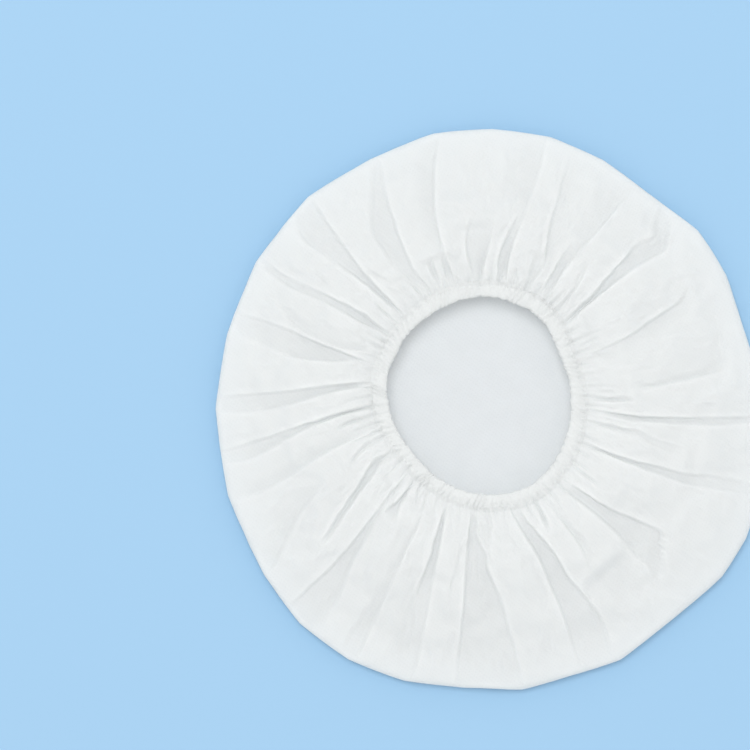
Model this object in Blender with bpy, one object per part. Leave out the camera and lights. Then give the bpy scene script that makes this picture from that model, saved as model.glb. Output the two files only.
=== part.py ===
import math

import bmesh
import bpy
import numpy as np

# A round disposable cap of nonwoven cloth, lying on its crown with its gathered mouth up.
# Sizes are in metres and angles in degrees.

RIM_RADIUS = 0.160  # mean radius of the outline
RIM_MIDDLE = 0.0058  # height of the outermost line of the rim
RIM_ROLL = 0.0048  # radius of the turn from the rim up into the skirt
RIM_SWEEP = 0.018  # width over which the flat crown curves up to the rim
CLOTH = 0.0012  # thickness of the cloth

MOUTH_RADIUS = 0.0542  # mean radius to the inner edge of the hem
MOUTH_SHIFT_LEFT = 0.0077  # the mouth sits a little left of the outline's centre
MOUTH_SHIFT_UP = 0.0071  # and a little above it, as seen from over the mouth
HEM_HEIGHT = 0.0175  # height of the middle of the hem
HEM_CHAMFER = 0.0014  # rounding of the hem's outer corners
HEM_RUFFLE = 0.0004  # rise and fall of the hem's small gathers
HEM_GATHERS = 40  # small gathers round the hem

ELASTIC_WIDTH = 0.0045
ELASTIC_THICKNESS = 0.0010
ELASTIC_ROOM = 0.0008  # room round the elastic inside the hem
HEM_SLIT = 0.0008  # slit under the hem, where its turned edge ends
GAP = 0.0003  # clearance between the skirt's edge and the hem

SKIRT_LIP = 0.0015  # level strip of the skirt beside the hem
PUFF_LIFT = 0.0095  # rise of the skirt above a straight line from hem to rim
PUFF_ROUND = 0.0030  # further rise in the middle of a puff of mean width
FOLD_DEPTH = 0.0085  # depth of the deepest valley between two puffs

COLUMN_SPACING = 3.4  # widest angle between two columns of the sheet
RIM_STEP = 30  # angle between two sections of the rolled rim
ELASTIC_SIDES = 64  # straight stretches round the elastic
CROWN_RING = 0.5  # size of the crown's inner ring of points, as a share of the flat crown
RISE_LIMIT_RATIO = 1.5  # a puff this many times the mean width rises no further
FADE_START = 0.5  # share of a valley's reach that runs at full depth
SHARP_ANGLE = 50  # edges that turn by more than this stay sharp

HEM_WIDTH = ELASTIC_WIDTH + 2 * ELASTIC_ROOM + 2 * CLOTH
HEM_THICKNESS = ELASTIC_THICKNESS + 2 * ELASTIC_ROOM + 2 * CLOTH

# Outline about its centre: angle, and radius as a share of RIM_RADIUS
OUTLINE = (
    ("angle", "share"),
    (18, 0.943),
    (30, 0.963),
    (41, 0.974),
    (52, 0.952),
    (66, 0.975),
    (78, 0.995),
    (90, 1.002),
    (102, 1.007),
    (116, 0.994),
    (131, 1.005),
    (148, 0.994),
    (164, 0.985),
    (180, 0.988),
    (198, 0.992),
    (216, 1.007),
    (228, 1.027),
    (240, 1.030),
    (252, 1.018),
    (264, 0.998),
    (276, 1.005),
    (286, 0.992),
    (297, 1.004),
    (311, 0.988),
    (324, 1.014),
    (333, 1.016),
    (347, 1.000),
    (363, 0.972),
)

# Inner edge of the hem about the mouth's centre: angle, and radius as a share of MOUTH_RADIUS
MOUTH = (
    ("angle", "share"),
    (0, 0.960),
    (30, 0.955),
    (50, 1.040),
    (75, 1.055),
    (100, 1.034),
    (122, 1.000),
    (150, 0.987),
    (180, 0.970),
    (200, 0.928),
    (215, 0.900),
    (240, 0.940),
    (270, 1.013),
    (300, 1.065),
    (322, 1.030),
    (342, 0.990),
)

# Valleys between the puffs: the angle where each starts at the hem and ends at the rim,
# its depth as a share of FOLD_DEPTH, and how far it runs as a share of the skirt's width
VALLEYS = (
    ("hem", "rim", "depth", "reach"),
    (3.5, 8.9, 0.55, 0.85),
    (20.5, 32.0, 0.50, 0.85),
    (42.0, 42.8, 0.90, 1.00),
    (48.5, 51.9, 0.45, 0.32),
    (57.0, 61.5, 0.65, 0.50),
    (65.0, 70.5, 0.60, 0.65),
    (80.0, 80.3, 0.80, 0.95),
    (91.0, 90.5, 0.80, 0.42),
    (103.5, 101.3, 0.75, 1.00),
    (110.0, 108.5, 0.45, 0.32),
    (117.0, 114.6, 0.75, 0.95),
    (135.0, 131.4, 0.80, 1.00),
    (146.0, 146.8, 0.70, 0.90),
    (157.0, 155.5, 0.55, 0.38),
    (165.0, 164.0, 0.80, 0.60),
    (175.0, 174.5, 0.90, 0.62),
    (185.0, 184.5, 0.65, 0.50),
    (195.5, 194.7, 0.70, 0.50),
    (205.0, 204.0, 0.50, 0.28),
    (213.5, 216.5, 0.90, 0.88),
    (229.0, 226.3, 0.85, 1.00),
    (236.0, 233.5, 0.40, 0.28),
    (244.0, 239.5, 0.70, 1.00),
    (254.0, 250.7, 0.70, 0.65),
    (268.5, 268.3, 1.00, 0.90),
    (290.0, 295.7, 1.00, 0.90),
    (303.0, 304.2, 0.45, 0.45),
    (315.0, 318.0, 0.85, 0.75),
    (325.0, 327.0, 0.35, 0.28),
    (337.0, 340.9, 0.80, 1.00),
    (346.0, 348.5, 0.50, 0.35),
    (354.0, 358.4, 0.65, 1.00),
)

# Sections of the skirt from the hem out to the rim: place as a share of the skirt's width,
# lift as a share of PUFF_LIFT, and depth of the valleys there as a share of their own depth
SECTIONS = (
    ("place", "lift", "fold"),
    (0.055, 0.46, 0.45),
    (0.115, 0.82, 0.88),
    (0.190, 1.00, 1.00),
    (0.290, 1.02, 0.98),
    (0.410, 0.94, 0.86),
    (0.540, 0.76, 0.68),
    (0.670, 0.54, 0.50),
    (0.790, 0.33, 0.34),
    (0.900, 0.15, 0.20),
)


def clear_scene():
    for thing in list(bpy.data.objects):
        bpy.data.objects.remove(thing, do_unlink=True)


def make_material(name, colour, roughness):
    material = bpy.data.materials.new(name)
    material.use_nodes = True
    shader = material.node_tree.nodes["Principled BSDF"]
    shader.inputs["Base Color"].default_value = (*colour, 1.0)
    shader.inputs["Roughness"].default_value = roughness
    shader.inputs["Metallic"].default_value = 0.0
    material.diffuse_color = (*colour, 1.0)
    return material


def column_of(table, name):
    place = table[0].index(name)
    return np.array([row[place] for row in table[1:]], dtype=float)


def round_curve(table, angle):
    # A smooth closed curve through the table's shares, by cubic pieces between the rows
    known = column_of(table, "angle")
    share = column_of(table, "share")
    known = np.concatenate((known[-2:] - 360, known, known[:2] + 360))
    share = np.concatenate((share[-2:], share, share[:2]))
    slope = np.gradient(share, known)
    angle = known[1] + (angle - known[1]) % 360
    row = np.clip(np.searchsorted(known, angle, side="right") - 1, 0, len(known) - 2)
    span = known[row + 1] - known[row]
    along = (angle - known[row]) / span
    start = (1 + 2 * along) * (1 - along) ** 2 * share[row]
    start += along * (1 - along) ** 2 * span * slope[row]
    end = along**2 * (3 - 2 * along) * share[row + 1]
    end += along**2 * (along - 1) * span * slope[row + 1]
    return start + end


def direction(angle):
    turn = np.radians(angle)
    return np.stack((np.cos(turn), np.sin(turn)), axis=-1)


def outline_centre():
    # The centre of the outline's extents, which becomes the origin
    angle = np.arange(0, 360, 1.0)
    points = direction(angle) * (RIM_RADIUS * round_curve(OUTLINE, angle))[:, None]
    return (points.min(axis=0) + points.max(axis=0)) / 2


def rim_point(angle, inset):
    radius = RIM_RADIUS * round_curve(OUTLINE, angle) - inset
    return direction(angle) * radius[:, None] - outline_centre()


def mouth_point(angle, outset):
    radius = MOUTH_RADIUS * round_curve(MOUTH, angle) + outset
    centre = np.array((-MOUTH_SHIFT_LEFT, MOUTH_SHIFT_UP)) - outline_centre()
    return direction(angle) * radius[:, None] + centre


def sheet_columns():
    # The sheet's columns follow the valleys, with a few more across each puff.
    # Each has its angles, the place across its puff from 0 to 1, and the puff's two valleys.
    hem = column_of(VALLEYS, "hem")
    rim = column_of(VALLEYS, "rim")
    columns = []
    for left in range(len(hem)):
        right = (left + 1) % len(hem)
        hem_span = (hem[right] - hem[left]) % 360
        rim_span = (rim[right] - rim[left]) % 360
        count = max(2, math.ceil(hem_span / COLUMN_SPACING))
        for step in range(count):
            across = step / count
            columns.append(
                (hem[left] + across * hem_span, rim[left] + across * rim_span, across, left, right)
            )
    return np.array(columns)


def valley_depth(place, fold, reach, depth):
    # A valley runs at full depth for the first part of its reach and fades out over the rest
    fade = np.clip((place - FADE_START * reach) / ((1 - FADE_START) * reach), 0, 1)
    return FOLD_DEPTH * fold * depth * (1 - fade * fade * (3 - 2 * fade))


def skirt_height(place, lift, fold, columns):
    across = columns[:, 2]
    left = columns[:, 3].astype(int)
    right = columns[:, 4].astype(int)
    reach = column_of(VALLEYS, "reach")
    depth = column_of(VALLEYS, "depth")
    hem = column_of(VALLEYS, "hem")
    mean_puff = 360 / len(hem)
    puff = np.minimum(((hem[right] - hem[left]) % 360) / mean_puff, RISE_LIMIT_RATIO)
    straight = HEM_HEIGHT + place * (RIM_MIDDLE + RIM_ROLL - HEM_HEIGHT)
    rise = PUFF_LIFT * lift + PUFF_ROUND * fold * puff * np.sin(np.pi * across)
    near_left = (1 - np.sin(np.pi / 2 * across)) * valley_depth(
        place, fold, reach[left], depth[left]
    )
    near_right = (1 - np.cos(np.pi / 2 * across)) * valley_depth(
        place, fold, reach[right], depth[right]
    )
    return straight + rise - near_left - near_right


def level_ring(flat, height):
    return np.column_stack((flat, np.full(len(flat), height)))


def sheet_rows():
    # Rings of points from the hem over the puffs and the rim to the crown
    columns = sheet_columns()
    hem_angle = columns[:, 0]
    rim_angle = columns[:, 1]
    inner = mouth_point(hem_angle, HEM_WIDTH + GAP)
    lip = mouth_point(hem_angle, HEM_WIDTH + GAP + SKIRT_LIP)
    outer = rim_point(rim_angle, RIM_ROLL)
    rows = [level_ring(inner, HEM_HEIGHT), level_ring(lip, HEM_HEIGHT)]
    for place, lift, fold in SECTIONS[1:]:
        flat = lip + place * (outer - lip)
        rows.append(np.column_stack((flat, skirt_height(place, lift, fold, columns))))
    for turn in range(90, -91, -RIM_STEP):
        angle = math.radians(turn)
        width = RIM_ROLL if turn > 0 else RIM_SWEEP
        height = RIM_ROLL if turn > 0 else RIM_MIDDLE - CLOTH / 2
        flat = rim_point(rim_angle, width * (1 - math.cos(angle)))
        rows.append(level_ring(flat, RIM_MIDDLE + height * math.sin(angle)))
    centre = rows[-1][:, :2].mean(axis=0)
    flat = centre + CROWN_RING * (rows[-1][:, :2] - centre)
    rows.append(level_ring(flat, CLOTH / 2))
    return rows


def ring_faces(mesh, rows, closed):
    # Quads between each row of points and the next, closed round each row
    made = [[mesh.verts.new(point) for point in row] for row in rows]
    pairs = list(zip(made, made[1:]))
    if closed:
        pairs.append((made[-1], made[0]))
    for low, high in pairs:
        for k in range(len(low)):
            following = (k + 1) % len(low)
            mesh.faces.new((low[k], low[following], high[following], high[k]))
    return made


def finish_piece(name, mesh, material):
    bmesh.ops.recalc_face_normals(mesh, faces=mesh.faces)
    data = bpy.data.meshes.new(name)
    mesh.to_mesh(data)
    mesh.free()
    data.materials.append(material)
    data.shade_smooth()
    data.set_sharp_from_angle(angle=math.radians(SHARP_ANGLE))
    piece = bpy.data.objects.new(name, data)
    bpy.context.collection.objects.link(piece)
    return piece


def make_cap_shell(material):
    # The cloth sheet: a flat crown, a rolled rim and the gathered skirt that comes back inwards
    mesh = bmesh.new()
    made = ring_faces(mesh, sheet_rows(), closed=False)
    mesh.faces.new(made[-1])
    shell = finish_piece("cap_shell", mesh, material)
    thicken = shell.modifiers.new("cloth thickness", "SOLIDIFY")
    thicken.thickness = CLOTH
    thicken.offset = 0
    thicken.use_rim = True
    return shell


def make_hem_casing(material):
    # The hem: cloth turned over the elastic, with its edge ending at a slit underneath
    half_width = HEM_WIDTH / 2
    half_height = HEM_THICKNESS / 2
    inner_width = half_width - CLOTH
    inner_height = half_height - CLOTH
    slit = inner_width - 2 * HEM_SLIT
    profile = (
        (slit, -half_height),
        (HEM_CHAMFER - half_width, -half_height),
        (-half_width, HEM_CHAMFER - half_height),
        (-half_width, half_height - HEM_CHAMFER),
        (HEM_CHAMFER - half_width, half_height),
        (half_width - HEM_CHAMFER, half_height),
        (half_width, half_height - HEM_CHAMFER),
        (half_width, -half_height),
        (slit + HEM_SLIT, -half_height),
        (slit + HEM_SLIT, -inner_height),
        (inner_width, -inner_height),
        (inner_width, inner_height),
        (-inner_width, inner_height),
        (-inner_width, -inner_height),
        (slit, -inner_height),
    )
    angle = np.arange(2 * HEM_GATHERS) * 180 / HEM_GATHERS
    ruffle = HEM_RUFFLE * (-1.0) ** np.arange(2 * HEM_GATHERS)
    rows = []
    for out, up in profile:
        flat = mouth_point(angle, half_width + out)
        rows.append(np.column_stack((flat, HEM_HEIGHT + up + ruffle)))
    mesh = bmesh.new()
    ring_faces(mesh, rows, closed=True)
    return finish_piece("hem_casing", mesh, material)


def make_elastic_ring(material):
    # The flat elastic that draws the mouth in, hidden inside the hem
    angle = np.arange(ELASTIC_SIDES) * 360 / ELASTIC_SIDES
    rows = []
    for across, up in ((-1, -1), (1, -1), (1, 1), (-1, 1)):
        flat = mouth_point(angle, (HEM_WIDTH + across * ELASTIC_WIDTH) / 2)
        rows.append(level_ring(flat, HEM_HEIGHT + up * ELASTIC_THICKNESS / 2))
    mesh = bmesh.new()
    ring_faces(mesh, rows, closed=True)
    return finish_piece("elastic_ring", mesh, material)


def main():
    clear_scene()
    cloth = make_material("white_nonwoven", (0.80, 0.84, 0.83), 0.85)
    elastic = make_material("white_elastic", (0.78, 0.78, 0.76), 0.70)
    make_cap_shell(cloth)
    make_hem_casing(cloth)
    make_elastic_ring(elastic)


main()
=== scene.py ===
import bpy
import math
import numpy as np
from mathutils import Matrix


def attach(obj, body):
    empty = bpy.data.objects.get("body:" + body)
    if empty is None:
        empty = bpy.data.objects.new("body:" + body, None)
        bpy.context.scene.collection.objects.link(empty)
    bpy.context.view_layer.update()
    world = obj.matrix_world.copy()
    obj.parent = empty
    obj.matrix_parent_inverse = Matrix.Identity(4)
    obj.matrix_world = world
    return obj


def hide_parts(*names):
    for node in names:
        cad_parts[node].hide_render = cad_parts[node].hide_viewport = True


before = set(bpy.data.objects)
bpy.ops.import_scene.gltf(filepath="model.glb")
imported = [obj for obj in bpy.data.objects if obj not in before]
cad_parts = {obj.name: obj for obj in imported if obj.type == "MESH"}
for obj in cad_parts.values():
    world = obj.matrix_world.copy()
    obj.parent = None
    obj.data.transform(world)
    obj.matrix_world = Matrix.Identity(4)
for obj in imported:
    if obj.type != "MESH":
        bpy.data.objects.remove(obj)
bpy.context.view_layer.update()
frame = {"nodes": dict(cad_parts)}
print("frame loaded:", ", ".join(frame["nodes"]))

# Lengths are in metres and angles in degrees. The cap lies on its crown, mouth up,
# and is seen from straight above, with +X to the right and +Y up in the picture.


# Shared shape tools

def column(table, name):
    # one named column of a table whose first row holds the names
    place = table[0].index(name)
    return np.array([row[place] for row in table[1:]], dtype=float)


def hermite(known, value, at):
    # smooth curve through (known, value): cubic pieces whose slopes are the local averages
    slope = np.gradient(value, known)
    row = np.clip(np.searchsorted(known, at, side="right") - 1, 0, len(known) - 2)
    span = known[row + 1] - known[row]
    t = np.clip((at - known[row]) / span, 0, 1)
    return ((1 + 2 * t) * (1 - t) ** 2 * value[row] + t * (1 - t) ** 2 * span * slope[row]
            + t * t * (3 - 2 * t) * value[row + 1] + t * t * (t - 1) * span * slope[row + 1])


def roundCurve(table, name, angle):
    # the same curve closed on itself, read at an angle
    known, value = column(table, table[0][0]), column(table, name)
    known = np.concatenate((known[-2:] - 360, known, known[:2] + 360))
    value = np.concatenate((value[-2:], value, value[:2]))
    return hermite(known, value, known[1] + (angle - known[1]) % 360)


def heading(angle):
    # the flat unit vector (cos, sin) of an angle
    turn = np.radians(angle)
    return np.stack((np.cos(turn), np.sin(turn)), axis=-1)


def smoothStep(low, high, x):
    # from 0 at low to 1 at high as 3 t^2 - 2 t^3
    t = np.clip((x - low) / (high - low), 0, 1)
    return t * t * (3 - 2 * t)


def softNoise(angle, out, around, across, seed):
    # random values from -1 to 1 on a grid that closes round the cap, joined by smooth steps
    grid = np.random.default_rng(seed).uniform(-1, 1, (around, across + 2))
    u, v = (angle / 360 * around) % around, np.clip(out, 0, 1) * across
    i, j = np.floor(u).astype(int) % around, np.minimum(np.floor(v).astype(int), across)
    s, t = u - np.floor(u), v - j
    s, t = s * s * (3 - 2 * s), t * t * (3 - 2 * t)
    near = grid[i, j] * (1 - s) + grid[(i + 1) % around, j] * s
    far = grid[i, j + 1] * (1 - s) + grid[(i + 1) % around, j + 1] * s
    return near * (1 - t) + far * t


def pieceFrom(name, vertices, faces):
    # a smooth object from an array of points and arrays of faces, one array for each face size
    corners = np.concatenate([group.ravel() for group in faces]).astype(np.int32)
    sizes = np.concatenate([np.full(len(group), group.shape[1]) for group in faces])
    mesh = bpy.data.meshes.new(name)
    mesh.vertices.add(len(vertices))
    mesh.vertices.foreach_set("co", vertices.ravel())
    mesh.loops.add(len(corners))
    mesh.loops.foreach_set("vertex_index", corners)
    mesh.polygons.add(len(sizes))
    mesh.polygons.foreach_set("loop_start", (np.cumsum(sizes) - sizes).astype(np.int32))
    mesh.update(calc_edges=True)
    mesh.validate()
    mesh.shade_smooth()
    piece = bpy.data.objects.new(name, mesh)
    bpy.context.collection.objects.link(piece)
    return piece


def gridMesh(name, points, pole):
    # points[row, column] joined by quads, closed round the columns; a fan to the pole closes the last row.
    # Columns run anticlockwise and rows outwards on the upper side, so the faces point outwards.
    rows, columns = points.shape[:2]
    r, c = np.meshgrid(np.arange(rows - 1), np.arange(columns), indexing="ij")
    beside = (c + 1) % columns
    quads = np.stack((r * columns + c, (r + 1) * columns + c, (r + 1) * columns + beside,
                      r * columns + beside), axis=-1)
    last = (rows - 1) * columns + np.arange(columns)
    fan = np.column_stack((np.roll(last, -1), last, np.full(columns, rows * columns)))
    return pieceFrom(name, np.vstack((points.reshape(-1, 3), pole)), (quads.reshape(-1, 4), fan))


# Camera, light and floor

view = dict(
    photoSide=750,           # pixels
    metresPerPixel=0.160 / 280,
    outlineCentre=(492.0, 409.35),   # pixels, the middle of the cap's outline in the photo
    height=2.2,              # far off, so the mouth stays round
    sensor=0.036, clip=(0.01, 50),
)
light = dict(
    sky=0.93,
    keyPower=70.0, keySize=2.0, keyPlace=(-0.42, 0.95, 3.9),
    floorColour=(0.30, 0.49, 0.68), floorRough=0.9, floorReach=12.0,
    floorDrop=0.0004,        # just under the cap, so that the two don't flicker
)


def makeCamera():
    cam = bpy.data.cameras.new("camera")
    cam.sensor_width = view["sensor"] * 1000
    wide = view["photoSide"] * view["metresPerPixel"]
    cam.lens = cam.sensor_width * view["height"] / wide
    cam.clip_start, cam.clip_end = view["clip"]
    camera = bpy.data.objects.new("camera", cam)
    half = view["photoSide"] / 2
    shift = outlineShift()
    camera.location = ((half - view["outlineCentre"][0]) * view["metresPerPixel"] - shift[0],
                       (view["outlineCentre"][1] - half) * view["metresPerPixel"] - shift[1],
                       view["height"])
    bpy.context.collection.objects.link(camera)
    bpy.context.scene.camera = camera


def makeLights():
    world = bpy.data.worlds.new("studio")
    world.use_nodes = True
    back = world.node_tree.nodes["Background"]
    back.inputs["Color"].default_value = (1.0, 1.0, 1.0, 1)
    back.inputs["Strength"].default_value = light["sky"]
    bpy.context.scene.world = world
    key = bpy.data.lights.new("softKey", "AREA")
    key.shape, key.size, key.energy = "DISK", light["keySize"], light["keyPower"]
    lamp = bpy.data.objects.new("softKey", key)
    lamp.location = light["keyPlace"]
    away = np.array(light["keyPlace"])
    away = away / np.linalg.norm(away)
    lamp.rotation_euler = (math.acos(away[2]), 0, math.atan2(away[1], away[0]) + math.pi / 2)
    bpy.context.collection.objects.link(lamp)
    bpy.context.scene.view_settings.view_transform = "Standard"


def makeFloor():
    side = light["floorReach"]
    mesh = bpy.data.meshes.new("floor")
    mesh.from_pydata([(-side, -side, 0), (side, -side, 0), (side, side, 0), (-side, side, 0)],
                     [], [(0, 1, 2, 3)])
    floor = bpy.data.objects.new("floor", mesh)
    material = bpy.data.materials.new("paleFloor")
    material.use_nodes = True
    shader = material.node_tree.nodes["Principled BSDF"]
    shader.inputs["Base Color"].default_value = (*light["floorColour"], 1)
    shader.inputs["Roughness"].default_value = light["floorRough"]
    mesh.materials.append(material)
    floor.location.z = -light["floorDrop"]
    bpy.context.collection.objects.link(floor)


# The cloth: one sheet from the middle of the crown, round the rim and back to the mouth,
# where it is turned over the elastic

cloth = dict(
    rimRadius=0.160, corners=0.65, rimMiddle=0.0058, rimRoll=0.0048, rimSweep=0.018,
    rimPucker=0.0011,
    mouthRadius=0.0542, mouthShift=(-0.0077, 0.0071),
    hemHeight=0.0175, hemWidth=0.0078, hemThickness=0.0050,
    skirtStart=0.0018,       # from the stitch line to where the puffs begin to rise
    grooveWidth=0.0004, grooveDepth=0.0001,   # the hollow between the hem and the skirt
    skirtHeight=0.0192,      # where the skirt leaves the hem
    lift=0.0100, foldDepth=0.0075,
    foldPower=0.75,          # below 1, the folds' shallow ends are deeper than in the table
    puffShare=0.55, puffEdge=14.0,   # share of a fold's depth in its rounded sides, their width in pixels
    foldFade=10.0,           # pixels over which a strip begins and ends
    crestOffset=2.4, crestWidth=2.4, crestHeight=0.0005, crestOpaque=0.16,   # the first two in pixels
    crestSoftest=4,          # only edges up to this softness have a crest
    pleats=94, pleatHeight=0.0013, pleatWander=0.75,
    gathers=64, gatherHeight=0.0023, # wider ones, which run further out into the skirt
    hemLump=0.0008,          # unevenness of the hem's inner edge
    hemSquare=(0.65, 0.55),  # 1 is an oval section, less is squarer
    hemOpen=38,              # the hem's tube is open below its outer side by this angle
    pleatLean=1.6,           # how far the hem's pleats lean across it
    pleatLevel=0.4,          # part of a pleat that lies below the mean surface
    pleatReach=0.035, gatherReach=(0.12, 0.07),   # how far they run out, as shares of the skirt
    skirtPleats=0.65,        # the hem's pleats are this much as high beside it
    edgePleats=150, edgeRuffle=0.0026,   # gathers of the raw edge inside the hem and their height
    # the raw edge's rows, how much each is ruffled, and its place as shares of the hem
    edgeRows=(1.0, 0.6, 0.25), edgePlace=(0.93, 0.08), edgeDrop=0.42,
    columns=1152, hemRows=(6, 11), skirtRows=52, skirtSpacing=1.45, rimRows=8,
    crownHeight=0.0005,
    crownRings=(0.70, 0.42, 0.34, 0.24, 0.12),   # shares of the rim's size
    crownPaintedShade=(1.6, 0.7, 0.8, 1.3, 1.6),        # painted shade of each ring's colour: darker in the middle, lighter under the hem's edge where its shadow falls
    hemPaintedShade=0.65, hemLit=0.96, crownLit=0.60,   # the hem's painted shade, and how much light comes through
)

# Outline about its centre, as shares of rimRadius
outline = (
    ("angle", "share"),
    (18, 0.943), (30, 0.963), (41, 0.974), (52, 0.952), (66, 0.975), (78, 0.995), (90, 1.002),
    (102, 1.007), (116, 0.994), (131, 1.005), (148, 0.994), (164, 0.985), (180, 0.988),
    (198, 0.992), (216, 1.007), (228, 1.027), (240, 1.030), (252, 1.018), (264, 0.998),
    (276, 1.005), (286, 0.992), (297, 1.004), (311, 0.988), (324, 1.014), (333, 1.016),
    (347, 1.000), (363, 0.972),
)

# Inner edge of the hem about the mouth's centre, as shares of mouthRadius
mouth = (
    ("angle", "share"),
    (0, 0.960), (30, 0.955), (50, 1.040), (75, 1.055), (100, 1.034), (122, 1.000), (150, 0.987),
    (180, 0.970), (200, 0.928), (215, 0.900), (240, 0.940), (270, 1.013), (300, 1.065),
    (322, 1.030), (342, 0.990),
)

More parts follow.
